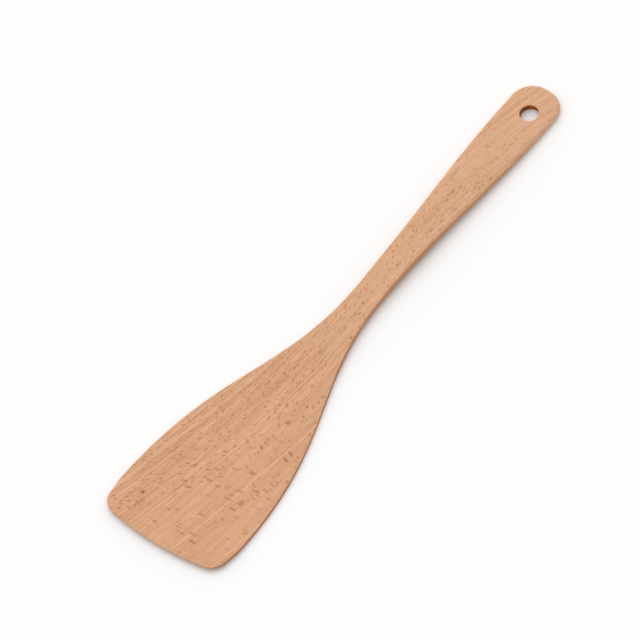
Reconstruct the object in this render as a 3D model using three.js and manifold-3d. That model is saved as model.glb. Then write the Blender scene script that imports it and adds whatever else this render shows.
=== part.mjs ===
// Flat wooden kitchen spatula, sawn and sanded from a single board of beech. Sizes are in millimetres.
// +X runs from the front of the blade to the end of the handle, and +Z points up from the table that
// the spatula lies on. The origin is on the table, under the middle of the overall length and width.

import * as THREE from 'three';
import { mergeVertices } from 'three/addons/utils/BufferGeometryUtils.js';
import Module from 'manifold-3d';

const { clamp, degToRad, lerp, smoothstep } = THREE.MathUtils;

// Plan outline, the same on both sides of the centre line. Every "AT" is measured from the front edge.
const LENGTH = 300;
const FRONT_RADIUS = 172;
const BLADE_WIDTH = 72.5;
const BLADE_WIDEST_AT = 21;
const CORNER_RADIUS = 8.8;
const CORNER_CENTRE = 26.4;
const CORNER_FLARE = degToRad(7);
const NECK_WIDTH = 14.6;
const NECK_AT = 163.5;
const GRIP_WIDTH = 26.2;
const END_CORNER_RADIUS = 11.5;
const END_RADIUS = 24;

// How far each sweep of the side keeps its direction, as a share of the sweep's length
const BLADE_SWEEP = { leave: 0.494, arrive: 0.39 };
const GRIP_SWEEP = { leave: 0.374, arrive: 0.44 };

// Thickness: a thin front edge, a slim blade, and a handle that fills out behind the neck
const FRONT_THICKNESS = 1;
const BLADE_THICKNESS = 1.9;
const GRIP_THICKNESS = 4.4;
const END_THICKNESS = 3.6;
const WEDGE_LENGTH = 40;
const SWELL_FROM = 90;
const SWELL_TO = 205;
const END_TAPER_FROM = 255;

// Side view: the blade lies on its heel, its front edge sweeps up, and the handle arches to its end
const FRONT_LIFT = 2.2;
const HEEL_FROM = 50;
const HEEL_TO = 85;
const HANDLE_ARCH = 1.9;

// Sanded edge, as a radius in shares of the local thickness: crisp on the blade, full where the hand goes
const BLADE_ROUND = 0.18;
const GRIP_ROUND = 0.48;
const GRIP_ROUND_FROM = 165;
const GRIP_ROUND_TO = 235;

// Hanging hole, drilled square through the grip a little off its centre line
const HOLE_DIAMETER = 9.3;
const HOLE_FROM_END = 16;
const HOLE_OFFSET = -1.2;
const HOLE_CHAMFER = 0.5;
const DRILL_OVERRUN = 1;

// Facets
const EDGE_STEPS = 4;
const FACE_COLUMNS = 6;
const HOLE_SIDES = 32;

const BEECH = new THREE.MeshStandardMaterial({ name: 'beech', color: 0xd6a481, roughness: 0.6, metalness: 0 });

// Thickness of the wood at a distance from the front edge
function thickness(along) {
  const wedge = (BLADE_THICKNESS - FRONT_THICKNESS) * clamp(1 - along / WEDGE_LENGTH, 0, 1) ** 2;
  const swell = (GRIP_THICKNESS - BLADE_THICKNESS) * smoothstep(along, SWELL_FROM, SWELL_TO);
  const taper = (GRIP_THICKNESS - END_THICKNESS) * smoothstep(along, END_TAPER_FROM, LENGTH);
  return BLADE_THICKNESS - wedge + swell - taper;
}

// Height of the underside above the table: flat at the heel, lifted in front of it and behind it
function underside(along) {
  const lift = FRONT_LIFT * clamp(1 - along / HEEL_FROM, 0, 1) ** 2;
  const share = clamp((along - HEEL_TO) / (LENGTH - HEEL_TO), 0, 1);
  return lift + HANDLE_ARCH * Math.sin(Math.PI * share) ** 2;
}

// Radius of the sanded edge at a distance from the front edge, as a share of the thickness there
function edgeRound(along) {
  return lerp(BLADE_ROUND, GRIP_ROUND, smoothstep(along, GRIP_ROUND_FROM, GRIP_ROUND_TO));
}

// Point of the wood over a plan position, from -1 on the underside to 1 on the top face
function pointAt(plan, level) {
  const height = underside(plan.x) + thickness(plan.x) * (1 + level) / 2;
  return new THREE.Vector3(plan.x - LENGTH / 2, plan.y, height);
}

function arc(x, y, radius, from, to) {
  return new THREE.EllipseCurve(x, y, radius, radius, from, to, true);
}

// Sweep whose two ends point along the given directions
function sweep(from, fromDirection, to, toDirection, { leave, arrive }) {
  const run = to.x - from.x;
  const departing = from.clone().addScaledVector(fromDirection, run * leave);
  const arriving = to.clone().addScaledVector(toDirection, -run * arrive);
  return new THREE.CubicBezierCurve(from, departing, arriving, to);
}

// Curves of one side of the outline, from the middle of the front edge to the middle of the handle's end,
// each with the number of facets it is cut into
function sideCurves() {
  const lengthwise = new THREE.Vector2(1, 0);
  const flaring = new THREE.Vector2(Math.cos(CORNER_FLARE), Math.sin(CORNER_FLARE));

  const cornerReach = FRONT_RADIUS - CORNER_RADIUS;
  const cornerTurn = Math.asin(CORNER_CENTRE / cornerReach);
  const cornerX = FRONT_RADIUS - cornerReach * Math.cos(cornerTurn);
  const front = arc(FRONT_RADIUS, 0, FRONT_RADIUS, Math.PI, Math.PI - cornerTurn);
  const corner = arc(cornerX, CORNER_CENTRE, CORNER_RADIUS, Math.PI - cornerTurn, Math.PI / 2 + CORNER_FLARE);

  const endCentre = GRIP_WIDTH / 2 - END_CORNER_RADIUS;
  const endReach = END_RADIUS - END_CORNER_RADIUS;
  const endTurn = Math.asin(endCentre / endReach);
  const endCornerX = LENGTH - END_RADIUS + endReach * Math.cos(endTurn);
  const endCorner = arc(endCornerX, endCentre, END_CORNER_RADIUS, Math.PI / 2, endTurn);
  const end = arc(LENGTH - END_RADIUS, 0, END_RADIUS, endTurn, 0);

  const widest = new THREE.Vector2(BLADE_WIDEST_AT, BLADE_WIDTH / 2);
  const neck = new THREE.Vector2(NECK_AT, NECK_WIDTH / 2);
  const even = { leave: 0.4, arrive: 0.4 };
  const flare = sweep(corner.getPoint(1), flaring, widest, lengthwise, even);
  const blade = sweep(widest, lengthwise, neck, lengthwise, BLADE_SWEEP);
  const grip = sweep(neck, lengthwise, endCorner.getPoint(0), lengthwise, GRIP_SWEEP);

  return [[front, 8], [corner, 8], [flare, 3], [blade, 28], [grip, 22], [endCorner, 12], [end, 2]];
}

// Stations down one side: a point of the outline and the direction that faces out of the wood there
function sideStations() {
  const stations = sideCurves().flatMap(([curve, facets]) =>
    Array.from({ length: facets }, (_, i) => {
      const tangent = curve.getTangent(i / facets);
      return { point: curve.getPoint(i / facets), outward: new THREE.Vector2(-tangent.y, tangent.x) };
    }));
  stations[0] = { point: new THREE.Vector2(0, 0), outward: new THREE.Vector2(-1, 0) };
  stations.push({ point: new THREE.Vector2(LENGTH, 0), outward: new THREE.Vector2(1, 0) });
  return stations;
}

// Plan point reached by going in from the outline over the sanded edge, up to an angle of its quarter-round
function drawnIn({ point, outward }, angle) {
  const radius = edgeRound(point.x) * thickness(point.x);
  return point.clone().addScaledVector(outward, -radius * (1 - Math.cos(angle)));
}

// Angles of the quarter-round at the bottom edge, then of the one at the top edge, with an upright wall between
function edgeSteps() {
  const angles = Array.from({ length: EDGE_STEPS + 1 }, (_, i) => (i / EDGE_STEPS) * (Math.PI / 2));
  const bottom = angles.toReversed().map((angle) => ({ angle, face: -1 }));
  return [...bottom, ...angles.map((angle) => ({ angle, face: 1 }))];
}

// One closed loop round the wood at a step of the edge, where face is 1 for the top edge and -1 for the bottom
function edgeLoop(stations, { angle, face }) {
  const side = stations.map((station) => {
    const level = face * (1 - 2 * edgeRound(station.point.x) * (1 - Math.sin(angle)));
    return pointAt(drawnIn(station, angle), level);
  });
  const otherSide = side.slice(1, -1).reverse().map(({ x, y, z }) => new THREE.Vector3(x, -y, z));
  return [...side, ...otherSide, side[0]];
}

// Rungs that cross a face from side to side, facing up at face 1 and down at face -1
function faceRungs(stations, face) {
  return stations.map((station) => {
    const plan = drawnIn(station, Math.PI / 2);
    return Array.from({ length: FACE_COLUMNS + 1 }, (_, i) => {
      const across = lerp(-face, face, i / FACE_COLUMNS) * plan.y;
      return pointAt(new THREE.Vector2(plan.x, across), face);
    });
  });
}

// Triangles between neighbouring rows of points
function skin(rows) {
  const triangles = [];
  for (let i = 0; i + 1 < rows.length; i++) {
    for (let j = 0; j + 1 < rows[i].length; j++) {
      const [a, b] = [rows[i][j], rows[i][j + 1]];
      const [c, d] = [rows[i + 1][j + 1], rows[i + 1][j]];
      triangles.push(a, d, b, b, d, c);
    }
  }
  return triangles;
}

// Blank with its edges sanded round, before drilling
function blankGeometry() {
  const stations = sideStations();
  const loops = edgeSteps().map((step) => edgeLoop(stations, step));
  const faces = [skin(loops), skin(faceRungs(stations, 1)), skin(faceRungs(stations, -1))];
  return new THREE.BufferGeometry().setFromPoints(faces.flat());
}

// Shape that the drill and a light countersink on both faces take out
function drillGeometry() {
  const along = LENGTH - HOLE_FROM_END;
  const radius = HOLE_DIAMETER / 2;
  const low = underside(along);
  const high = low + thickness(along);
  const mouth = radius + HOLE_CHAMFER + DRILL_OVERRUN;
  const profile = [
    new THREE.Vector2(0, low - DRILL_OVERRUN),
    new THREE.Vector2(mouth, low - DRILL_OVERRUN),
    new THREE.Vector2(radius, low + HOLE_CHAMFER),
    new THREE.Vector2(radius, high - HOLE_CHAMFER),
    new THREE.Vector2(mouth, high + DRILL_OVERRUN),
    new THREE.Vector2(0, high + DRILL_OVERRUN),
  ];
  const upright = new THREE.LatheGeometry(profile, HOLE_SIDES).rotateX(Math.PI / 2);
  return upright.translate(along - LENGTH / 2, HOLE_OFFSET, 0);
}

const wasm = await Module();
wasm.setup();

// Solid of a closed geometry, once its shared corners are joined and its empty triangles dropped
function solidOf(geometry) {
  geometry.deleteAttribute('normal');
  geometry.deleteAttribute('uv');
  const joined = mergeVertices(geometry);
  const corners = Array.from(joined.index.array);
  const kept = [];
  for (let i = 0; i < corners.length; i += 3) {
    const [a, b, c] = corners.slice(i, i + 3);
    if (a !== b && b !== c && c !== a) kept.push(a, b, c);
  }
  const vertProperties = joined.attributes.position.array;
  return new wasm.Manifold(new wasm.Mesh({ numProp: 3, vertProperties, triVerts: Uint32Array.from(kept) }));
}

function spatula() {
  const drilled = solidOf(blankGeometry()).subtract(solidOf(drillGeometry())).getMesh();
  const geometry = new THREE.BufferGeometry();
  geometry.setAttribute('position', new THREE.BufferAttribute(drilled.vertProperties, 3));
  geometry.setIndex(new THREE.BufferAttribute(drilled.triVerts, 1));
  geometry.computeVertexNormals();
  const mesh = new THREE.Mesh(geometry, BEECH);
  mesh.name = 'spatula';
  return mesh;
}

const part = new THREE.Group();
part.add(spatula());

export default part;
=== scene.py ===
# %% [markdown]
# # A beech spatula
#
# The object is one piece of wood: a flat kitchen spatula, sawn, drilled and sanded from a single board
# of beech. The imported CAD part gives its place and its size. Lengths here are in metres, in the part's
# own frame: +X runs from the front of the blade to the end of the handle, +Z points up, and the origin
# lies on the table under the middle of the spatula.

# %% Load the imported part
import math

import bmesh
import bpy
from mathutils import Matrix, Vector, geometry, noise


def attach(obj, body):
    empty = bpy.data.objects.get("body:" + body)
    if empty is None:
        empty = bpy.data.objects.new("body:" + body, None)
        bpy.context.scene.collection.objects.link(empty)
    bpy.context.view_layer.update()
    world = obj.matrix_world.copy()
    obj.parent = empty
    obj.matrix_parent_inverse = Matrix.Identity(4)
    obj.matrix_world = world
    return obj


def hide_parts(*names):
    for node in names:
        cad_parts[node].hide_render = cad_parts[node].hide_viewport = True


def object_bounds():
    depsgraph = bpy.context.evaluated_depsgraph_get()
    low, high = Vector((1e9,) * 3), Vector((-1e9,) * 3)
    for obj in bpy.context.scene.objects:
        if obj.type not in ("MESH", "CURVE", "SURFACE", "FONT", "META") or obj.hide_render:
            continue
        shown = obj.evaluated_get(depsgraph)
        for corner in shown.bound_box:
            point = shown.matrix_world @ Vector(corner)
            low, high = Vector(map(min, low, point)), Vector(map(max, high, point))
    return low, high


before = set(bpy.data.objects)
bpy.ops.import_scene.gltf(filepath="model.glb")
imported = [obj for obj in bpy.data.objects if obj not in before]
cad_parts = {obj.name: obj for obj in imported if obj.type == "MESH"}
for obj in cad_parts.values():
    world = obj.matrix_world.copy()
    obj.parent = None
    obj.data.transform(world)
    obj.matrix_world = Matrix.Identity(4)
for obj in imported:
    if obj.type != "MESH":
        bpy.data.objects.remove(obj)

MM = 0.001
cad_low, cad_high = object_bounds()
LENGTH = cad_high.x - cad_low.x
BLADE_WIDTH = cad_high.y - cad_low.y
print(f"packed spatula: {LENGTH / MM:.1f} mm long, {BLADE_WIDTH / MM:.1f} mm wide")

# %% [markdown]
# ## The camera
#
# The photograph was taken from well above the blade, from far enough away that the two sides of the
# handle show almost no perspective. A long lens at four metres gives that. The camera is turned a little
# about its own line of sight, which is what lays the handle towards the upper right corner. Building the
# matrix from three perpendicular directions keeps the turn exact, where a Track To constraint would
# always hold the camera upright.

# %% Place the camera
CAMERA_AZIMUTH = math.radians(-37.08)
CAMERA_ELEVATION = math.radians(55.31)
CAMERA_ROLL = math.radians(17.07)
CAMERA_DISTANCE = 4.0
CAMERA_AIM = Vector((-10.45 * MM, 12.67 * MM, 0))
PICTURE_WIDTH = 300.6 * MM
SENSOR_WIDTH = 36.0

ground_reach = math.cos(CAMERA_ELEVATION)
backward = Vector((math.sin(CAMERA_AZIMUTH) * ground_reach,
                   -math.cos(CAMERA_AZIMUTH) * ground_reach,
                   math.sin(CAMERA_ELEVATION)))
level_right = Vector((0, 0, 1)).cross(backward).normalized()
level_up = backward.cross(level_right)
right = math.cos(CAMERA_ROLL) * level_right - math.sin(CAMERA_ROLL) * level_up
up = math.cos(CAMERA_ROLL) * level_up + math.sin(CAMERA_ROLL) * level_right

lens = bpy.data.cameras.new("photo_camera")
lens.sensor_width = SENSOR_WIDTH
lens.lens = SENSOR_WIDTH * CAMERA_DISTANCE / PICTURE_WIDTH
camera = bpy.data.objects.new("photo_camera", lens)
camera_turn = Matrix((right, up, backward)).transposed().to_4x4()
camera.matrix_world = Matrix.Translation(CAMERA_AIM + backward * CAMERA_DISTANCE) @ camera_turn
bpy.context.scene.collection.objects.link(camera)
bpy.context.scene.camera = camera
print(f"camera: {lens.lens:.0f} mm lens, {CAMERA_DISTANCE} m away")

# %% [markdown]
# ## The floor
#
# The spatula lies on plain white, so the floor is one large matt sheet that is nearly white itself. It
# takes the spatula's shadow. The Standard view transform shows each colour as it is written.

# %% Lay the floor
FLOOR_SIZE = 12.0
FLOOR_COLOUR = (0.97, 0.97, 0.97, 1)


def shader_of(material):
    """The Principled BSDF of a new material."""
    material.use_nodes = True
    return material.node_tree.nodes["Principled BSDF"]


bpy.context.scene.view_settings.view_transform = "Standard"
bpy.ops.mesh.primitive_plane_add(size=FLOOR_SIZE)
floor = bpy.context.object
floor.name = "floor"
floor_paint = bpy.data.materials.new("matt white floor")
floor_shader = shader_of(floor_paint)
floor_shader.inputs["Base Color"].default_value = FLOOR_COLOUR
floor_shader.inputs["Roughness"].default_value = 1.0
floor_shader.inputs["Specular IOR Level"].default_value = 0.0
floor.data.materials.append(floor_paint)
print("floor laid at z = 0")

# %% [markdown]
# ## Building with nodes
#
# Sky and wood are both made of nodes, and a long node tree is easier to read as a few formulas than as
# boxes and wires. Three helpers do the wiring: one fills an input with a number, a colour or another
# node's output, one places a node with all its inputs, and one does arithmetic.

# %% Helpers that wire nodes
NODE_SPACING = 190


def feed(tree, socket, value):
    """Put a number, a colour or another node's output into an input."""
    if isinstance(value, bpy.types.NodeSocket):
        tree.links.new(value, socket)
    else:
        socket.default_value = value


def put(tree, kind, inputs=None, **settings):
    """A node with its settings and its inputs, by name or number, filled in."""
    node = tree.nodes.new("ShaderNode" + kind)
    node.location.x = NODE_SPACING * len(tree.nodes)
    for name, value in settings.items():
        setattr(node, name, value)
    for name, value in (inputs or {}).items():
        feed(tree, node.inputs[name], value)
    return node


def calc(tree, operation, *values):
    """Output of a Math node."""
    return put(tree, "Math", dict(enumerate(values)), operation=operation).outputs[0]


print("wiring helpers ready")

# %% [markdown]
# ## The sky
#
# The light is as soft as in a studio tent: a white sky that brightens towards the +Y side, as if one long
# wall of the tent were lit. The far edges come out pale, the near side wall falls into shade, and the
# shadow stays faint. The camera itself, and anything that mirrors or passes a view of the sky, sees plain
# white instead: the Light Path node tells those rays from the ones that carry the light.

# %% Hang the sky
LIT_SIDE = Vector((0.35, 0.65, 0.67)).normalized()
BRIGHTEST_SKY = 1.08
DARKEST_SKY = 0.33
WHITE = (1, 1, 1, 1)

world = bpy.data.worlds.new("studio tent")
bpy.context.scene.world = world
world.use_nodes = True
sky = world.node_tree
sky_way = put(sky, "TexCoord").outputs["Generated"]
facing = put(sky, "VectorMath", {0: sky_way, 1: LIT_SIDE}, operation="DOT_PRODUCT").outputs["Value"]
sky_strength = put(sky, "MapRange", {"Value": facing, "From Min": -1.0, "From Max": 1.0,
                                     "To Min": DARKEST_SKY, "To Max": BRIGHTEST_SKY}).outputs["Result"]
sky_light = put(sky, "Background", {"Color": WHITE, "Strength": sky_strength}).outputs[0]
sky_seen = put(sky, "Background", {"Color": WHITE, "Strength": 1.0}).outputs[0]
rays = put(sky, "LightPath").outputs
straight = calc(sky, "MAXIMUM", rays["Is Camera Ray"], rays["Is Glossy Ray"])
seen = calc(sky, "MAXIMUM", straight, rays["Is Transmission Ray"])
chosen = put(sky, "MixShader", {0: seen, 1: sky_light, 2: sky_seen}).outputs[0]
feed(sky, sky.nodes["World Output"].inputs["Surface"], chosen)
print(f"sky from {DARKEST_SKY} to {BRIGHTEST_SKY}")

# %% [markdown]
# ## The lamp
#
# A weak lamp from the lit side gives a little definition. It is a sun as wide as a large softbox, because
# a sun lights the whole floor evenly, where an area lamp would leave a bright patch. Sky and lamp together
# make a white sheet just white.

# %% Place the lamp
LAMP_LEVEL = 0.148
LAMP_WIDTH = math.radians(60)
LAMP_ELEVATION = math.radians(60)
LAMP_AZIMUTH = math.radians(62)

lamp_data = bpy.data.lights.new("wide lamp", "SUN")
lamp_data.angle = LAMP_WIDTH
lamp_data.energy = LAMP_LEVEL * math.pi / math.sin(LAMP_ELEVATION)
lamp = bpy.data.objects.new("wide lamp", lamp_data)
lamp_way = Vector((math.cos(LAMP_AZIMUTH) * math.cos(LAMP_ELEVATION),
                   math.sin(LAMP_AZIMUTH) * math.cos(LAMP_ELEVATION),
                   math.sin(LAMP_ELEVATION)))
lamp.rotation_euler = lamp_way.to_track_quat("Z", "Y").to_euler()
bpy.context.scene.collection.objects.link(lamp)
print(f"lamp strength {lamp_data.energy:.2f}")

# %% [markdown]
# ## The side view
#
# Seen from the side, a spatula like this is never flat. The blade is planed down to a thin front edge
# and lifts slightly there, it rests on its heel, and the handle fills out behind the neck and arches a
# little off the table. Two small formulas give the underside's height and the wood's thickness at any
# distance from the front edge, so the mesh can be as fine as the looks need.

# %% Thickness and underside
FRONT_THICKNESS = 1.0 * MM
BLADE_THICKNESS = 1.9 * MM
GRIP_THICKNESS = 4.4 * MM
END_THICKNESS = 3.6 * MM
WEDGE_LENGTH = 40 * MM
SWELL_FROM = 90 * MM
SWELL_TO = 205 * MM
END_TAPER_FROM = 255 * MM
FRONT_LIFT = 2.2 * MM
HEEL_FROM = 50 * MM
HEEL_TO = 85 * MM
HANDLE_ARCH = 1.9 * MM


def clamped(value):
    return min(max(value, 0.0), 1.0)


def eased(value, start, end):
    """0 before start, 1 after end, and a smooth step between them."""
    share = clamped((value - start) / (end - start))
    return share * share * (3 - 2 * share)


def thickness(along):
    wedge = (BLADE_THICKNESS - FRONT_THICKNESS) * clamped(1 - along / WEDGE_LENGTH) ** 2
    swell = (GRIP_THICKNESS - BLADE_THICKNESS) * eased(along, SWELL_FROM, SWELL_TO)
    taper = (GRIP_THICKNESS - END_THICKNESS) * eased(along, END_TAPER_FROM, LENGTH)
    return BLADE_THICKNESS - wedge + swell - taper


def underside(along):
    lift = FRONT_LIFT * clamped(1 - along / HEEL_FROM) ** 2
    share = clamped((along - HEEL_TO) / (LENGTH - HEEL_TO))
    return lift + HANDLE_ARCH * math.sin(math.pi * share) ** 2


def wood_point(plan, level):
    """Point over a place in plan, from -1 on the underside to 1 on the top face."""
    height = underside(plan.x) + thickness(plan.x) * (1 + level) / 2
    return Vector((plan.x - LENGTH / 2, plan.y, height))


print(f"thickest at the grip: {thickness(SWELL_TO) / MM:.1f} mm")

# %% [markdown]
# ## The outline
#
# In plan the two sides are alike: a bowed front edge, a rounded corner, a long sweep in to the neck, a
# second sweep out to the grip, and a round end. Arcs make the front, the corners and the end. A cubic
# curve with two handles makes each sweep, because the handles say how long the side keeps its direction
# before it turns, which is how the eye reads the shape. mathutils.geometry.interpolate_bezier draws it.

# %% Arcs and sweeps
CURVE_STEPS = 300


def arc(x, y, radius, start, end):
    """Points round an arc in plan, from one angle to another."""
    angles = [start + (end - start) * i / CURVE_STEPS for i in range(CURVE_STEPS + 1)]
    return [Vector((x + radius * math.cos(a), y + radius * math.sin(a))) for a in angles]


def sweep(start, start_way, end, end_way, leave, arrive):
    """Points down a long curve that leaves and arrives along the given directions."""
    run = end.x - start.x
    first_handle = start + start_way * (run * leave)
    second_handle = end - end_way * (run * arrive)
    return geometry.interpolate_bezier(start, first_handle, second_handle, end, CURVE_STEPS + 1)


print(f"every arc and sweep is drawn in {CURVE_STEPS} steps")

# %% [markdown]
# ## One side, from front to end
#
# Arcs that follow each other must not kink. Two circles touch smoothly where their centres are in line
# with the touching point, so the corner's centre lies on a circle round the front's centre, and the same
# holds at the handle's end. The side is kept in three stretches, the front, the long side and the end,
# which meet in the middle of the rounded corners. The grid of the faces needs them apart.

# %% Curves of one side
FRONT_RADIUS = 172 * MM
BLADE_WIDEST_AT = 21 * MM
CORNER_RADIUS = 8.8 * MM
CORNER_CENTRE = 26.4 * MM
CORNER_FLARE = math.radians(7)
NECK_WIDTH = 14.6 * MM
NECK_AT = 163.5 * MM
GRIP_WIDTH = 26.2 * MM
END_CORNER_RADIUS = 11.5 * MM
END_RADIUS = 24 * MM
FLARE_SWEEP = (0.4, 0.4)
BLADE_SWEEP = (0.494, 0.39)
GRIP_SWEEP = (0.374, 0.44)
LENGTHWISE = Vector((1, 0))

corner_reach = FRONT_RADIUS - CORNER_RADIUS
corner_turn = math.asin(CORNER_CENTRE / corner_reach)
corner_x = FRONT_RADIUS - corner_reach * math.cos(corner_turn)
corner_start = math.pi - corner_turn
corner_end = math.pi / 2 + CORNER_FLARE
corner_middle = (corner_start + corner_end) / 2
end_centre = GRIP_WIDTH / 2 - END_CORNER_RADIUS
end_reach = END_RADIUS - END_CORNER_RADIUS
end_turn = math.asin(end_centre / end_reach)
end_x = LENGTH - END_RADIUS + end_reach * math.cos(end_turn)
end_middle = (math.pi / 2 + end_turn) / 2

front = arc(FRONT_RADIUS, 0, FRONT_RADIUS, math.pi, corner_start)
front += arc(corner_x, CORNER_CENTRE, CORNER_RADIUS, corner_start, corner_middle)[1:]

corner = arc(corner_x, CORNER_CENTRE, CORNER_RADIUS, corner_middle, corner_end)
widest = Vector((BLADE_WIDEST_AT, BLADE_WIDTH / 2))
neck = Vector((NECK_AT, NECK_WIDTH / 2))
end_corner = arc(end_x, end_centre, END_CORNER_RADIUS, math.pi / 2, end_middle)
flaring = Vector((math.cos(CORNER_FLARE), math.sin(CORNER_FLARE)))
side = list(corner)
side += sweep(corner[-1], flaring, widest, LENGTHWISE, *FLARE_SWEEP)[1:]
side += sweep(widest, LENGTHWISE, neck, LENGTHWISE, *BLADE_SWEEP)[1:]
side += sweep(neck, LENGTHWISE, end_corner[0], LENGTHWISE, *GRIP_SWEEP)[1:]
side += end_corner[1:]

end = arc(end_x, end_centre, END_CORNER_RADIUS, end_middle, end_turn)
end += arc(LENGTH - END_RADIUS, 0, END_RADIUS, end_turn, 0)[1:]
print(f"outline drawn with {len(front) + len(side) + len(end)} points a side")

# %% [markdown]
# ## Even stations
#
# A mesh shades best when its faces are close to square, so the drawn curves are walked in even steps.
# Each station keeps its point and the direction that faces out of the wood there, because the rounded
# edge is made by stepping in from the outline.

# %% Walk the outline in even steps
FRONT_STEPS = 20
SIDE_STEPS = 230


def stations(points, steps):
    """Evenly spaced (point, outward) pairs down a drawn curve."""
    lengths = [0.0]
    for before, after in zip(points, points[1:]):
        lengths.append(lengths[-1] + (after - before).length)
    found = []
    at = 1
    for step in range(steps + 1):
        goal = lengths[-1] * step / steps
        while at < len(points) - 1 and lengths[at] < goal:
            at += 1
        share = (goal - lengths[at - 1]) / (lengths[at] - lengths[at - 1])
        way = (points[at] - points[at - 1]).normalized()
        found.append((points[at - 1].lerp(points[at], clamped(share)), Vector((-way.y, way.x))))
    return found


front_stations = stations(front, FRONT_STEPS)
side_stations = stations(side, SIDE_STEPS)
end_stations = stations(end, FRONT_STEPS)
front_stations[0] = (Vector((0, 0)), Vector((-1, 0)))
end_stations[-1] = (Vector((LENGTH, 0)), Vector((1, 0)))
half_outline = front_stations[:-1] + side_stations + end_stations[1:]
print(f"{len(half_outline)} stations a side")

# %% [markdown]
# ## Sanded edges
#
# The edges were eased with sandpaper, so they are round rather than sharp: just broken on the thin blade,
# and nearly half-round at the grip, where the hand goes. Each edge is a quarter circle whose radius is a
# share of the local thickness, with a short upright wall between the two. Stepping the outline inwards
# and up gives one closed loop for each step. A Bevel modifier would give one width all round, and this
# edge has to grow along the handle.

# %% Loops round the edge
BLADE_ROUND = 0.18
GRIP_ROUND = 0.48
GRIP_ROUND_FROM = 165 * MM
GRIP_ROUND_TO = 235 * MM
EDGE_STEPS = 7


def edge_round(along):
    """Radius of the sanded edge, as a share of the thickness."""
    return BLADE_ROUND + (GRIP_ROUND - BLADE_ROUND) * eased(along, GRIP_ROUND_FROM, GRIP_ROUND_TO)


def mirrored(plan):
    return Vector((plan.x, -plan.y))


def drawn_in(angle):
    """Half of the outline, moved in over the rounded edge up to an angle of its quarter circle."""
    half = []
    for point, outward in half_outline:
        radius = edge_round(point.x) * thickness(point.x)
        half.append(point - outward * (radius * (1 - math.cos(angle))))
    return half


def edge_loop(angle, face):
    """Closed loop at an angle of the quarter circle: face is 1 for the top edge, -1 for the bottom."""
    near, far = [], []
    for plan, (point, _) in zip(drawn_in(angle), half_outline):
        level = face * (1 - 2 * edge_round(point.x) * (1 - math.sin(angle)))
        near.append(wood_point(plan, level))
        far.append(wood_point(mirrored(plan), level))
    return near + far[-2:0:-1] + near[:1]


quarter = [math.pi / 2 * i / EDGE_STEPS for i in range(EDGE_STEPS + 1)]
edge_loops = [edge_loop(angle, -1) for angle in reversed(quarter)]
edge_loops += [edge_loop(angle, 1) for angle in quarter]
print(f"{len(edge_loops)} edge loops of {len(edge_loops[0]) - 1} points")

# %% [markdown]
# ## Flat faces
#
# The two flat faces are filled as a grid between the four sides of the innermost loop. Each point is
# blended from all four sides: it goes straight across from side to side, plus a share of the front's bow
# and a share of the end's. So the rows bow with the front edge and no thin slivers meet at the corners.
# One grid in plan serves both faces.

# %% Grid of a face
COLUMNS = 2 * FRONT_STEPS
ROWS = SIDE_STEPS


def face_plan():
    """Grid of plan points that fills the innermost loop, row by row from front to end."""
    half = drawn_in(math.pi / 2)
    sides = half[FRONT_STEPS:FRONT_STEPS + ROWS + 1]
    front_half = half[FRONT_STEPS::-1]
    end_half = half[FRONT_STEPS + ROWS:]
    front_row = front_half + [mirrored(plan) for plan in reversed(front_half[:-1])]
    end_row = end_half + [mirrored(plan) for plan in reversed(end_half[:-1])]
    grid = []
    for i, left in enumerate(sides):
        back = i / ROWS
        row = []
        for j in range(COLUMNS + 1):
            across = j / COLUMNS
            from_sides = left.lerp(mirrored(left), across)
            front_bow = front_row[j] - front_row[0].lerp(front_row[-1], across)
            end_bow = end_row[j] - end_row[0].lerp(end_row[-1], across)
            row.append(from_sides + front_bow * (1 - back) + end_bow * back)
        grid.append(row)
    return grid


plan_grid = face_plan()
print(f"faces of {ROWS} by {COLUMNS}")

# %% [markdown]
# ## A window for the hanging hole
#
# The hole was drilled square through the grip and its two rims were eased. Cutting it with a boolean
# would leave long thin faces that shade badly. Here a rectangular window, a little larger than the hole,
# is left open in both grids instead. Its rim is gathered once round, row by row and column by column.

# %% Window in the grids
HOLE_RADIUS = 4.65 * MM
HOLE_FROM_END = 16 * MM
HOLE_OFFSET = -1.2 * MM
HOLE_CENTRE = Vector((LENGTH - HOLE_FROM_END, HOLE_OFFSET))
RIM_ROUND = 0.5 * MM
WINDOW_MARGIN = 2.2 * MM
MIDDLE_COLUMN = COLUMNS // 2

reach = HOLE_RADIUS + RIM_ROUND + WINDOW_MARGIN
from_hole = [abs(row[MIDDLE_COLUMN].x - HOLE_CENTRE.x) for row in plan_grid[:ROWS]]
hole_row = plan_grid[from_hole.index(min(from_hole))]
window_rows = [i for i in range(ROWS) if from_hole[i] < reach]
window_columns = [j for j in range(COLUMNS) if abs(hole_row[j].y - HOLE_CENTRE.y) < reach]
first_row, last_row = window_rows[0], window_rows[-1]
first_column, last_column = window_columns[0], window_columns[-1]

window = [plan_grid[first_row][j] for j in range(first_column, last_column)]
window += [plan_grid[i][last_column] for i in range(first_row, last_row)]
window += [plan_grid[last_row][j] for j in range(last_column, first_column, -1)]
window += [plan_grid[i][first_column] for i in range(last_row, first_row, -1)]
window.append(window[0])


def in_window(i, j):
    return first_row <= i < last_row and first_column <= j < last_column


print(f"window of {len(window_rows) - 1} by {len(window_columns) - 1} faces")

# %% [markdown]
# ## Rings of the hole
#
# Rings of faces lead from the window's rim to a true circle, over the eased edge, and down the bore to
# the other face. Every ring has one point at the angle of each point of the window, so each ring joins
# the next one in clean quads.

# %% Collars and bore
RIM_STEPS = 5
COLLAR_STEPS = 5
BORE_STEPS = 8


def towards(plan, radius):
    """Plan point at a radius from the hole's centre, on the way to another plan point."""
    return HOLE_CENTRE + (plan - HOLE_CENTRE).normalized() * radius


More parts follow.
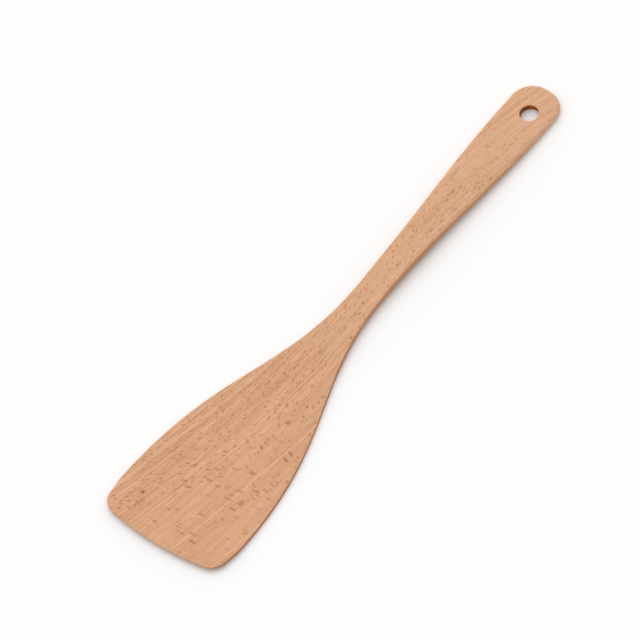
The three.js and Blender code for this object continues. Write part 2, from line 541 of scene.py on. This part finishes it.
def hole_ring(radius, face, drop):
    """Ring at a radius, with one point towards each window point, sunk below its face by drop."""
    sink = Vector((0, 0, face * drop))
    return [wood_point(towards(plan, radius), face) - sink for plan in window]


def collar(face):
    """Rings from the window to the rim and over its eased edge into the bore."""
    rim = HOLE_RADIUS + RIM_ROUND
    rings = []
    for step in range(COLLAR_STEPS):
        share = step / COLLAR_STEPS
        rings.append([wood_point(plan.lerp(towards(plan, rim), share), face) for plan in window])
    for step in range(RIM_STEPS + 1):
        angle = math.pi / 2 * step / RIM_STEPS
        radius = HOLE_RADIUS + RIM_ROUND * (1 - math.sin(angle))
        rings.append(hole_ring(radius, face, RIM_ROUND * (1 - math.cos(angle))))
    return rings


top_collar = collar(1)
bottom_collar = collar(-1)
bore = [[high.lerp(low, step / BORE_STEPS) for high, low in zip(top_collar[-1], bottom_collar[-1])]
        for step in range(BORE_STEPS + 1)]
print(f"hole: {2 * HOLE_RADIUS / MM:.1f} mm across, {len(window) - 1} points round")

# %% [markdown]
# ## One skin
#
# All the patches go into one bmesh, shared points are welded, and the normals are turned outwards. Real
# sanding leaves the surface a few hundredths of a millimetre uneven, which keeps reflections from being
# as straight as glass, so a slow noise nudges each point along its normal. The last line counts edges
# that don't join exactly two faces: a closed skin has none.

# %% Build the wood
SANDED, DRILLED = 0, 1
WELD = 0.001 * MM
UNEVEN = 0.06 * MM
UNEVEN_SCALE = 1 / (14 * MM)


def add_patch(mesh, rows, material=SANDED, skip=None):
    """Quads between neighbouring rows of points."""
    made = [[mesh.verts.new(point) for point in row] for row in rows]
    for i in range(len(made) - 1):
        for j in range(len(made[i]) - 1):
            if skip and skip(i, j):
                continue
            corners = (made[i][j], made[i][j + 1], made[i + 1][j + 1], made[i + 1][j])
            quad = mesh.faces.new(corners)
            quad.material_index = material
            quad.smooth = True


wood = bmesh.new()
add_patch(wood, edge_loops)
for face in (1, -1):
    add_patch(wood, [[wood_point(plan, face) for plan in row] for row in plan_grid], skip=in_window)
add_patch(wood, top_collar)
add_patch(wood, bottom_collar)
add_patch(wood, bore, DRILLED)
bmesh.ops.delete(wood, geom=[v for v in wood.verts if not v.link_faces], context="VERTS")
bmesh.ops.remove_doubles(wood, verts=wood.verts, dist=WELD)
bmesh.ops.recalc_face_normals(wood, faces=wood.faces)
wood.normal_update()
for vertex in wood.verts:
    vertex.co += vertex.normal * (UNEVEN * noise.noise(vertex.co * UNEVEN_SCALE))
    vertex.co.z = max(vertex.co.z, 0)
open_edges = sum(len(edge.link_faces) != 2 for edge in wood.edges)

skin = bpy.data.meshes.new("beech_spatula")
wood.to_mesh(skin)
wood.free()
spatula = bpy.data.objects.new("beech_spatula", skin)
bpy.context.scene.collection.objects.link(spatula)
print(f"{len(skin.polygons)} faces, {open_edges} open edges")

# %% [markdown]
# ## Node helpers
#
# Wood is made of a few patterns that all follow the log. Four more helpers keep their nodes short: one
# remaps a value smoothly, one scales the log's coordinates to the size of a pattern, one reads a noise
# there, and one starts a node group. Each pattern that is used more than once is a node group: the sanded
# faces and the drilled bore share the log and the fibres, and the faces take rings and rays at two sizes.

# %% Helpers for nodes
def ramp(tree, value, low, high, to_low=0.0, to_high=1.0):
    """Smooth step of a value from one range to another."""
    sockets = {"Value": value, "From Min": low, "From Max": high, "To Min": to_low, "To Max": to_high}
    return put(tree, "MapRange", sockets, interpolation_type="SMOOTHSTEP").outputs["Result"]


def stretched(tree, along, across, depth, sizes):
    """Vector of the three log coordinates, each divided by the size of its pattern."""
    parts = [calc(tree, "DIVIDE", value, size) for value, size in zip((along, across, depth), sizes)]
    return put(tree, "CombineXYZ", {"X": parts[0], "Y": parts[1], "Z": parts[2]}).outputs[0]


def noise_value(tree, at, detail):
    """Noise between 0 and 1 at a vector, with a number of finer layers."""
    return put(tree, "TexNoise", {"Vector": at, "Scale": 1.0, "Detail": detail}).outputs["Fac"]


def new_group(name, inputs, outputs):
    """Empty node group with float sockets, its input sockets and its output sockets."""
    group = bpy.data.node_groups.new(name, "ShaderNodeTree")
    for label, default in inputs.items():
        socket = group.interface.new_socket(label, in_out="INPUT", socket_type="NodeSocketFloat")
        socket.default_value = default
    for label in outputs:
        group.interface.new_socket(label, in_out="OUTPUT", socket_type="NodeSocketFloat")
    return group, group.nodes.new("NodeGroupInput").outputs, group.nodes.new("NodeGroupOutput").inputs


print("node helpers ready")

# %% [markdown]
# ## Where each point lay in the log
#
# One group turns a point of the spatula into three log coordinates in millimetres: along the grain, out
# from the pith across the rings, and round the trunk. The board was sawn so that the grain crosses the
# blade at a slant, fanning out a little, runs nearly straight through the neck and bends aside again in
# the grip. A smooth minimum of two straight lines makes the turn where the blade narrows, and a parabola
# the bend in the grip. A slow noise lets the rings wander, because no ring is straight.

# %% Group: along and out of the log
BLADE_SLANT = 0.172
HANDLE_SLANT = 0.03
SLANT_TURNS_AT = -45.0
SLANT_TURN_WIDTH = 6.0
SLANT_FAN = 150.0
GRIP_BENDS_FROM = 40.0
GRIP_BEND = 0.0011
WANDER = 1.1
WANDER_SIZES = (70.0, 22.0, 22.0)
WANDER_DETAIL = 2.0


def bent(tree, along, turns_at, before, after, width):
    """A line through zero at turns_at, with one slope before it and a lower one after it."""
    from_turn = calc(tree, "SUBTRACT", along, turns_at)
    first = calc(tree, "MULTIPLY", from_turn, before)
    second = calc(tree, "MULTIPLY", from_turn, after)
    return calc(tree, "SMOOTH_MIN", first, second, width)


log_group, _, log_out = new_group("Board in the log", {}, ["Along", "Out", "Round"])
place = put(log_group, "TexCoord").outputs["Object"]
place_mm = put(log_group, "VectorMath", {0: place, "Scale": 1 / MM}, operation="SCALE").outputs[0]
axes = put(log_group, "SeparateXYZ", {"Vector": place_mm}).outputs
slant = bent(log_group, axes["X"], SLANT_TURNS_AT, BLADE_SLANT, HANDLE_SLANT, SLANT_TURN_WIDTH)
fan = calc(log_group, "ADD", calc(log_group, "DIVIDE", axes["Y"], SLANT_FAN), 1.0)
slanted = calc(log_group, "MULTIPLY_ADD", slant, fan, axes["Y"])
past_neck = calc(log_group, "MAXIMUM", calc(log_group, "SUBTRACT", axes["X"], GRIP_BENDS_FROM), 0.0)
grip_curve = calc(log_group, "POWER", past_neck, 2.0)
bent_aside = calc(log_group, "MULTIPLY_ADD", grip_curve, GRIP_BEND, slanted)
wander_at = stretched(log_group, axes["X"], axes["Y"], axes["Z"], WANDER_SIZES)
wander = noise_value(log_group, wander_at, WANDER_DETAIL)
wander_mm = calc(log_group, "MULTIPLY_ADD", wander, 2 * WANDER, -WANDER)
out = calc(log_group, "ADD", bent_aside, wander_mm)
feed(log_group, log_out["Along"], axes["X"])
feed(log_group, log_out["Out"], out)
print(f"{log_group.name}: {len(log_group.nodes)} nodes so far")

# %% [markdown]
# ## Round the trunk
#
# The third coordinate decides how the face cuts the rays. The fibres aren't quite level in the board, so
# it climbs along the front of the blade, falls from there through the neck, and climbs again in the grip.
# It also curves as it crosses the board, so rays meet the face steeply at the +Y side and lie flat in it at
# the -Y side. A slow twist of the fibres makes them meet the handle's face more steeply too, and a small
# noise makes the rays crooked.

# %% Group: round the log
BLADE_DIVE = 0.15
HANDLE_DIVE = -0.1
DIVE_TURNS_AT = -90.0
DIVE_TURN_WIDTH = 3.0
GRIP_RISE = 0.0014
TWIST = 0.15
TWIST_FROM = -115.0
TWIST_TO = -35.0
RAY_FLAT_AT = -35.0
RAY_CURVE = 4.5e-5
CROOKED = 0.08
CROOKED_SIZES = (4.0, 3.0, 3.0)
CROOKED_DETAIL = 1.0

dive = bent(log_group, axes["X"], DIVE_TURNS_AT, BLADE_DIVE, HANDLE_DIVE, DIVE_TURN_WIDTH)
dived = calc(log_group, "MULTIPLY_ADD", grip_curve, GRIP_RISE, calc(log_group, "ADD", axes["Z"], dive))
twist = ramp(log_group, axes["X"], TWIST_FROM, TWIST_TO, 0.0, TWIST)
depth = calc(log_group, "MULTIPLY_ADD", axes["Y"], twist, dived)
from_flat = calc(log_group, "SUBTRACT", out, RAY_FLAT_AT)
curve = calc(log_group, "MULTIPLY", calc(log_group, "POWER", from_flat, 3.0), RAY_CURVE)
turned = calc(log_group, "ADD", depth, curve)
crooked_at = stretched(log_group, axes["X"], axes["Y"], axes["Z"], CROOKED_SIZES)
crooked = noise_value(log_group, crooked_at, CROOKED_DETAIL)
crooked_mm = calc(log_group, "MULTIPLY_ADD", crooked, 2 * CROOKED, -CROOKED)
feed(log_group, log_out["Round"], calc(log_group, "ADD", turned, crooked_mm))
print(f"{log_group.name}: {len(log_group.nodes)} nodes")

# %% [markdown]
# ## Growth rings
#
# Each year leaves a band a few millimetres wide, which ends in a fine pale line. On this board most of
# the lines are faint, and one stands out right across the blade. Rounding the outward coordinate gives
# the nearest line and the distance to it, and white noise on the line's number gives every line its own
# strength. The width and the seed are inputs, so a second, narrower set can stand for the finer growth
# lines between the years.

# %% Group: growth rings
LINE_REACH = 0.5
LINE_CONTRAST = 1.3
LINE_OFFSET = 26.0
BAND_SCALE = 1.3
BAND_DETAIL = 3.0

ring_group, ring_in, ring_out = new_group(
    "Growth rings", {"Out": 0.0, "Width": 1.0, "Seed": 0.0}, ["Line", "Band"])
ring = calc(ring_group, "DIVIDE", calc(ring_group, "ADD", ring_in["Out"], LINE_OFFSET), ring_in["Width"])
nearest = calc(ring_group, "ROUND", ring)
gap = calc(ring_group, "ABSOLUTE", calc(ring_group, "SUBTRACT", ring, nearest))
gap_mm = calc(ring_group, "MULTIPLY", gap, ring_in["Width"])
line_number = calc(ring_group, "ADD", nearest, ring_in["Seed"])
line_dice = put(ring_group, "TexWhiteNoise", {"W": line_number}, noise_dimensions="1D").outputs["Value"]
strong = calc(ring_group, "POWER", line_dice, LINE_CONTRAST)
line = ramp(ring_group, gap_mm, 0.0, LINE_REACH, 1.0, 0.0)
feed(ring_group, ring_out["Line"], calc(ring_group, "MULTIPLY", line, strong))
year = put(ring_group, "TexNoise", {"W": ring, "Scale": BAND_SCALE, "Detail": BAND_DETAIL},
           noise_dimensions="1D")
feed(ring_group, ring_out["Band"], year.outputs["Fac"])
print(f"{ring_group.name}: {len(ring_group.nodes)} nodes")

# %% [markdown]
# ## Ray flecks
#
# Beech is known by its rays, thin dark ribbons that run out from the pith. Where the face cuts them
# edge-on they show as short dark dashes, and where they lie nearly flat in it they show as broad silky
# flakes across the grain. One Voronoi texture in log coordinates makes both: its cells are thin round
# the trunk, short along the grain and long outwards, and only the heart of each cell is coloured. The
# face cuts these flat lozenges at the angle that the log gives it. Each cell's own random colour says how
# deep its brown is.

# %% Group: ray flecks
RAY_CELL = (3.5, 7.0, 0.50)
RAY_EDGE = 0.33
RAY_HEART = 0.22
FAINTEST_RAY = 0.5
RAY_CONTRAST = 2.0

ray_group, ray_in, ray_out = new_group(
    "Ray flecks", {"Along": 0.0, "Out": 0.0, "Round": 0.0, "Size": 1.0}, ["Fleck"])
ray_axes = (ray_in["Along"], ray_in["Out"], ray_in["Round"])
ray_at = stretched(ray_group, *ray_axes, RAY_CELL)
ray_scale = calc(ray_group, "DIVIDE", 1.0, ray_in["Size"])
ray_sized = put(ray_group, "VectorMath", {0: ray_at, "Scale": ray_scale}, operation="SCALE").outputs[0]
ray_cells = put(ray_group, "TexVoronoi", {"Vector": ray_sized, "Scale": 1.0, "Randomness": 1.0})
heart = ramp(ray_group, ray_cells.outputs["Distance"], RAY_HEART, RAY_EDGE, 1.0, 0.0)
cell_dice = put(ray_group, "SeparateColor", {"Color": ray_cells.outputs["Color"]}).outputs
ray_depth = calc(ray_group, "POWER", cell_dice["Green"], RAY_CONTRAST)
ray_weight = calc(ray_group, "MULTIPLY_ADD", ray_depth, 1 - FAINTEST_RAY, FAINTEST_RAY)
print(f"{ray_group.name}: {len(ray_group.nodes)} nodes so far")

# %% [markdown]
# ## Crowds of rays
#
# Rays come in crowds. A slow noise sets the share of cells that have no ray at all, and the random colour
# of each cell decides whether it is one of them. The rays are fewer on the -Y side and towards both ends
# of the spatula, so two ramps push the noise up or down there.

# %% Group: crowds of rays
CROWD_SIZES = (20.0, 9.0, 9.0)
CROWD_SEED = 4.0
CROWD_DETAIL = 1.0
CROWD_LOW = 0.36
CROWD_HIGH = 0.64
EMPTY_CELLS = 0.8
EMPTY_IN_CROWD = 0.15
FULLER_FROM = -20.0
FULLER_TO = 5.0
FULLER = 0.13
FULLEST_ALONG = -25.0
SPARSER_FROM = 85.0
SPARSER_TO = 140.0
SPARSER = 0.205
CELL_SOFTNESS = 0.06

crowd_at = stretched(ray_group, *ray_axes, CROWD_SIZES)
crowd = put(ray_group, "TexNoise",
            {"Vector": crowd_at, "W": CROWD_SEED, "Scale": 1.0, "Detail": CROWD_DETAIL},
            noise_dimensions="4D").outputs["Fac"]
fuller = ramp(ray_group, ray_in["Out"], FULLER_FROM, FULLER_TO, 0.0, FULLER)
away = calc(ray_group, "ABSOLUTE", calc(ray_group, "SUBTRACT", ray_in["Along"], FULLEST_ALONG))
sparser = ramp(ray_group, away, SPARSER_FROM, SPARSER_TO, 0.0, SPARSER)
crowded = calc(ray_group, "SUBTRACT", calc(ray_group, "ADD", crowd, fuller), sparser)
empty = ramp(ray_group, crowded, CROWD_LOW, CROWD_HIGH, EMPTY_CELLS, EMPTY_IN_CROWD)
over_empty = calc(ray_group, "SUBTRACT", cell_dice["Red"], empty)
ray_there = ramp(ray_group, over_empty, -CELL_SOFTNESS, CELL_SOFTNESS)
ray_shown = calc(ray_group, "MULTIPLY", ray_weight, ray_there)
feed(ray_group, ray_out["Fleck"], calc(ray_group, "MULTIPLY", heart, ray_shown))
print(f"{ray_group.name}: {len(ray_group.nodes)} nodes")

# %% [markdown]
# ## Fibres and pores
#
# Between the flecks the wood is a fine even felt of fibres and small pores. Two noises stretched along the
# grain stand for the fibres, a broad one and a fine one, and a small Voronoi texture gives the short dark
# dashes where the face opens a pore.

# %% Group: fibres and pores
BROAD_FIBRE = (40.0, 1.7, 8.0)
BROAD_DETAIL = 2.0
FINE_FIBRE = (9.0, 0.45, 2.5)
FINE_DETAIL = 4.0
PORE_CELL = (2.2, 0.75, 0.75)
PORE_EDGE = 0.36
PORE_HEART = 0.12

fibre_group, fibre_in, fibre_out = new_group(
    "Fibres and pores", {"Along": 0.0, "Out": 0.0, "Round": 0.0}, ["Broad", "Fine", "Pore"])
fibre_axes = (fibre_in["Along"], fibre_in["Out"], fibre_in["Round"])
broad_at = stretched(fibre_group, *fibre_axes, BROAD_FIBRE)
fine_at = stretched(fibre_group, *fibre_axes, FINE_FIBRE)
pore_at = stretched(fibre_group, *fibre_axes, PORE_CELL)
pores = put(fibre_group, "TexVoronoi", {"Vector": pore_at, "Scale": 1.0, "Randomness": 1.0})
pore = ramp(fibre_group, pores.outputs["Distance"], PORE_HEART, PORE_EDGE, 1.0, 0.0)
feed(fibre_group, fibre_out["Broad"], noise_value(fibre_group, broad_at, BROAD_DETAIL))
feed(fibre_group, fibre_out["Fine"], noise_value(fibre_group, fine_at, FINE_DETAIL))
feed(fibre_group, fibre_out["Pore"], pore)
print(f"{fibre_group.name}: {len(fibre_group.nodes)} nodes")

# %% [markdown]
# ## The sanded beech: patterns
#
# The faces are bare wood, sanded fine and left without varnish. The first step gathers the patterns. Two
# sets of rings stand for the years and for the finer growth between them, two sizes of rays keep the
# flecks from looking stamped, and a slow noise gives the blush that heartwood has in places.

# %% Material: patterns of the beech
YEAR_WIDTH = 3.85
YEAR_SEED = 331.0
GROWTH_WIDTH = 2.1
GROWTH_SEED = 40.0
SMALL_RAY = 0.66
BLUSH_SIZES = (60.0, 16.0, 16.0)
BLUSH_DETAIL = 1.0


def place_group(tree, group, **inputs):
    """Outputs of a node group placed in a tree."""
    return put(tree, "Group", inputs, node_tree=group).outputs


beech = bpy.data.materials.new("sanded beech")
beech_shader = shader_of(beech)
tree = beech.node_tree
log = place_group(tree, log_group)
log_axes = {"Along": log["Along"], "Out": log["Out"], "Round": log["Round"]}
years = place_group(tree, ring_group, Out=log["Out"], Width=YEAR_WIDTH, Seed=YEAR_SEED)
growth = place_group(tree, ring_group, Out=log["Out"], Width=GROWTH_WIDTH, Seed=GROWTH_SEED)
large_rays = place_group(tree, ray_group, **log_axes)
small_rays = place_group(tree, ray_group, **log_axes, Size=SMALL_RAY)
fibres = place_group(tree, fibre_group, **log_axes)
blush_at = stretched(tree, log["Along"], log["Out"], log["Round"], BLUSH_SIZES)
blush = noise_value(tree, blush_at, BLUSH_DETAIL)
print(f"{beech.name}: {len(tree.nodes)} nodes of patterns")

# %% [markdown]
# ## The sanded beech: tone
#
# Steamed beech is warm and pinkish. Its tone runs between a pale and a deep colour with the fibres, the
# bands of the years and the blush. Broad fibres and bands are faint on the -Y side of the blade, where
# the rays lie flat, and the bands also in the handle. Both are counted from the middle of their noise
# before a mask weakens them, so that the mask changes the contrast and not the colour.

# %% Material: tone of the beech
PALE_WOOD = (0.780, 0.445, 0.268, 1)
DEEP_WOOD = (0.480, 0.220, 0.096, 1)
TONE_START = -0.385
NOISE_MIDDLE = 0.5
BROAD_TONE = 0.78
FINE_TONE = 1.12
BAND_TONE = 0.45
BLUSH_TONE = 0.5
LINES_FAINT_AT = -27.0
LINES_CLEAR_AT = -6.0
FAINT_LINES = 0.2
HANDLE_FROM = -45.0
HANDLE_TO = 5.0
HANDLE_LINES = 0.35
MIX_FACTOR, MIX_FIRST, MIX_SECOND, MIX_RESULT = 0, 6, 7, 2


def mix(tree, factor, first, second):
    """Output of a colour mix. A Mix node's sockets share their names, so they go by number."""
    sockets = {MIX_FACTOR: factor, MIX_FIRST: first, MIX_SECOND: second}
    return put(tree, "Mix", sockets, data_type="RGBA").outputs[MIX_RESULT]


clear_across = ramp(tree, log["Out"], LINES_FAINT_AT, LINES_CLEAR_AT, FAINT_LINES, 1.0)
clear_along = ramp(tree, log["Along"], HANDLE_FROM, HANDLE_TO, 1.0, HANDLE_LINES)
clear = calc(tree, "MULTIPLY", clear_across, clear_along)
broad = calc(tree, "MULTIPLY", calc(tree, "SUBTRACT", fibres["Broad"], NOISE_MIDDLE), clear_across)
band = calc(tree, "MULTIPLY", calc(tree, "SUBTRACT", years["Band"], NOISE_MIDDLE), clear)
tone = calc(tree, "MULTIPLY_ADD", broad, BROAD_TONE, TONE_START)
tone = calc(tree, "MULTIPLY_ADD", fibres["Fine"], FINE_TONE, tone)
tone = calc(tree, "MULTIPLY_ADD", band, BAND_TONE, tone)
tone = calc(tree, "MULTIPLY_ADD", blush, BLUSH_TONE, tone)
colour = mix(tree, tone, PALE_WOOD, DEEP_WOOD)
print(f"{beech.name}: {len(tree.nodes)} nodes with the tone")

# %% [markdown]
# ## The sanded beech: lines and flecks
#
# The handle is slightly paler than the blade. Ring lines then lighten the tone, and pores and flecks darken
# it. Each layer is a mix whose factor is the pattern's mask times a strength, and the layers lie over
# each other in that order.

# %% Material: lines and flecks of the beech
LINE_CREAM = (0.850, 0.560, 0.370, 1)
FLECK_BROWN = (0.340, 0.098, 0.020, 1)
HANDLE_PALER = 0.15
GROWTH_SHOWS = 0.5
YEAR_SHOWS = 0.6
PORE_SHOWS = 0.28
SMALL_RAY_SHOWS = 0.5
LARGE_RAY_SHOWS = 0.68

paler = ramp(tree, log["Along"], HANDLE_FROM, HANDLE_TO, 0.0, HANDLE_PALER)
growth_line = calc(tree, "MULTIPLY", growth["Line"], clear)
colour = mix(tree, paler, colour, LINE_CREAM)
colour = mix(tree, calc(tree, "MULTIPLY", growth_line, GROWTH_SHOWS), colour, LINE_CREAM)
colour = mix(tree, calc(tree, "MULTIPLY", years["Line"], YEAR_SHOWS), colour, LINE_CREAM)
colour = mix(tree, calc(tree, "MULTIPLY", fibres["Pore"], PORE_SHOWS), colour, FLECK_BROWN)
colour = mix(tree, calc(tree, "MULTIPLY", small_rays["Fleck"], SMALL_RAY_SHOWS), colour, FLECK_BROWN)
colour = mix(tree, calc(tree, "MULTIPLY", large_rays["Fleck"], LARGE_RAY_SHOWS), colour, FLECK_BROWN)
print(f"{beech.name}: {len(tree.nodes)} nodes with lines and flecks")

# %% [markdown]
# ## The sanded beech: paler edges and painted shade on the sides
#
# The edges got the most sandpaper, and freshly opened fibres scatter more light, so they are a little
# paler; part of that paleness is a painted highlight, as if the rounded edges caught the light. The
# upright part of the object's own normal is 1 on the faces and 0 on the walls, so its product with one
# minus itself picks out the rounding between them, and the blush makes it uneven. The two long sides get
# a deeper brown, which is painted shade of the side walls, most of all along the blade, while the front
# and the handle's end stay pale. The sideways part of the normal tells the sides from the front, and the
# brown fades out before the end.

# %% Material: edges and sides
EDGE_PALE_AND_HIGHLIGHT = 0.9
# Painted shade: a deeper brown on the two long side walls stands in for the shade that falls on them.
WALL_SHADE_BROWN = (0.430, 0.150, 0.048, 1)
WALL_FROM = 0.75
WALL_TO = 0.15
SIDE_FROM = 0.4
SIDE_TO = 0.85
BLADE_WALL_SHADE = 0.95
GRIP_WALL_SHADE = 0.55
WALL_SHADE_FADES_FROM = 100.0
WALL_SHADE_FADES_TO = 132.0

surface = put(tree, "TexCoord").outputs
normal = put(tree, "SeparateXYZ", {"Vector": surface["Normal"]}).outputs
upright = calc(tree, "ABSOLUTE", normal["Z"])
sideways = calc(tree, "ABSOLUTE", normal["Y"])
rounding = calc(tree, "MULTIPLY", upright, calc(tree, "SUBTRACT", 1.0, upright))
# Paler rounded edges: partly from sanding, partly a painted highlight where the edges catch the light.
edge = calc(tree, "MULTIPLY", calc(tree, "MULTIPLY", rounding, blush), EDGE_PALE_AND_HIGHLIGHT)
colour = mix(tree, edge, colour, LINE_CREAM)
# Painted shade of the side walls, strongest along the blade and fading out before the handle's end.
wall = ramp(tree, upright, WALL_TO, WALL_FROM, 1.0, 0.0)
side_wall_shade = calc(tree, "MULTIPLY", wall, ramp(tree, sideways, SIDE_FROM, SIDE_TO))
wall_shade_shows = ramp(tree, log["Along"], HANDLE_FROM, HANDLE_TO, BLADE_WALL_SHADE, GRIP_WALL_SHADE)
not_end = ramp(tree, log["Along"], WALL_SHADE_FADES_FROM, WALL_SHADE_FADES_TO, 1.0, 0.0)
wall_shade_shows = calc(tree, "MULTIPLY", wall_shade_shows, not_end)
colour = mix(tree, calc(tree, "MULTIPLY", side_wall_shade, wall_shade_shows), colour, WALL_SHADE_BROWN)
print(f"{beech.name}: {len(tree.nodes)} nodes with edges and sides")

# %% [markdown]
# ## The sanded beech: a pin knot
#
# Near one corner the blade has a pin knot, the trace of a bud that never grew: a dark core in a small
# brown halo. It is found by distance in plan, so that it goes right through the thin blade.

# %% Material: pin knot
KNOT_PLACE = (-131.4 * MM, 22.2 * MM, 0)
KNOT_CORE = 1.15 * MM
KNOT_HALO = 2.6 * MM
KNOT_BROWN = (0.160, 0.040, 0.008, 1)
HALO_SHOWS = 0.3
FLAT = (1, 1, 0)

in_plan = put(tree, "VectorMath", {0: surface["Object"], 1: FLAT}, operation="MULTIPLY").outputs[0]
from_knot = put(tree, "VectorMath", {0: in_plan, 1: KNOT_PLACE}, operation="DISTANCE").outputs["Value"]
colour = mix(tree, ramp(tree, from_knot, 0.0, KNOT_HALO, HALO_SHOWS, 0.0), colour, FLECK_BROWN)
colour = mix(tree, ramp(tree, from_knot, 0.0, KNOT_CORE, 1.0, 0.0), colour, KNOT_BROWN)
feed(tree, beech_shader.inputs["Base Color"], colour)
print(f"{beech.name}: {len(tree.nodes)} nodes with the knot")

# %% [markdown]
# ## The sanded beech: surface
#
# Sanded wood is matt, and its gloss isn't even: flecks polish up smoother than the fibres round them. The
# fibres and the opened pores also leave a relief of a few hundredths of a millimetre, which a Bump node
# adds to the shading. The weak specular level is that of dry wood without any finish.

# %% Material: surface of the beech
SANDED_ROUGHNESS = 0.55
FIBRE_ROUGHNESS = 0.16
FLECK_POLISH = -0.12
DRY_SPECULAR = 0.25
PORE_DEPTH = -0.6
GRAIN_STRENGTH = 0.25
GRAIN_RELIEF = 0.05 * MM

roughness = calc(tree, "MULTIPLY_ADD", fibres["Fine"], FIBRE_ROUGHNESS, SANDED_ROUGHNESS)
roughness = calc(tree, "MULTIPLY_ADD", large_rays["Fleck"], FLECK_POLISH, roughness)
feed(tree, beech_shader.inputs["Roughness"], roughness)
beech_shader.inputs["Specular IOR Level"].default_value = DRY_SPECULAR
grain = calc(tree, "MULTIPLY_ADD", fibres["Pore"], PORE_DEPTH, fibres["Fine"])
relief = put(tree, "Bump", {"Height": grain, "Strength": GRAIN_STRENGTH, "Distance": GRAIN_RELIEF})
feed(tree, beech_shader.inputs["Normal"], relief.outputs["Normal"])
print(f"{beech.name}: {len(tree.nodes)} nodes in all")

# %% [markdown]
# ## The drilled bore
#
# A drill rubs and warms the wood that it cuts, so the wall of the hole is darker and redder than the
# faces. Its brown is also set deeper than that, as painted shade that keeps the inside of the hole dark.
# It keeps the same grain, because it is the same wood.

# %% Material: drilled bore
# Both bore colours are partly scorch and partly painted shade of the hole's inside.
BORE_PALE = (0.380, 0.105, 0.020, 1)
BORE_DEEP = (0.190, 0.042, 0.007, 1)
TORN_SPECULAR = 0.08
PORE_DARKENS = 0.4
RUBBED_FROM = 0.3
RUBBED_TO = 0.9
BORE_ROUGHNESS = 0.4
BORE_FIBRE_ROUGHNESS = 0.2
TORN_STRENGTH = 0.5
TORN_RELIEF = 0.1 * MM

drilled = bpy.data.materials.new("drilled bore")
drilled_shader = shader_of(drilled)
tree = drilled.node_tree
log = place_group(tree, log_group)
log_axes = {"Along": log["Along"], "Out": log["Out"], "Round": log["Round"]}
fibres = place_group(tree, fibre_group, **log_axes)
rubbed = calc(tree, "MULTIPLY_ADD", fibres["Pore"], PORE_DARKENS, fibres["Broad"])
bore_scorch_and_shade = mix(tree, ramp(tree, rubbed, RUBBED_FROM, RUBBED_TO), BORE_PALE, BORE_DEEP)
feed(tree, drilled_shader.inputs["Base Color"], bore_scorch_and_shade)
bore_roughness = calc(tree, "MULTIPLY_ADD", fibres["Fine"], BORE_FIBRE_ROUGHNESS, BORE_ROUGHNESS)
feed(tree, drilled_shader.inputs["Roughness"], bore_roughness)
drilled_shader.inputs["Specular IOR Level"].default_value = TORN_SPECULAR
torn = put(tree, "Bump", {"Height": fibres["Fine"], "Strength": TORN_STRENGTH, "Distance": TORN_RELIEF})
feed(tree, drilled_shader.inputs["Normal"], torn.outputs["Normal"])
print(f"{drilled.name}: {len(tree.nodes)} nodes")

# %% [markdown]
# ## Hand over
#
# The finished piece takes both materials, stands for the CAD solid, and rides on the part's only body.

# %% Dress the spatula and finish
skin.materials.append(beech)
skin.materials.append(drilled)
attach(spatula, "root")
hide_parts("spatula")
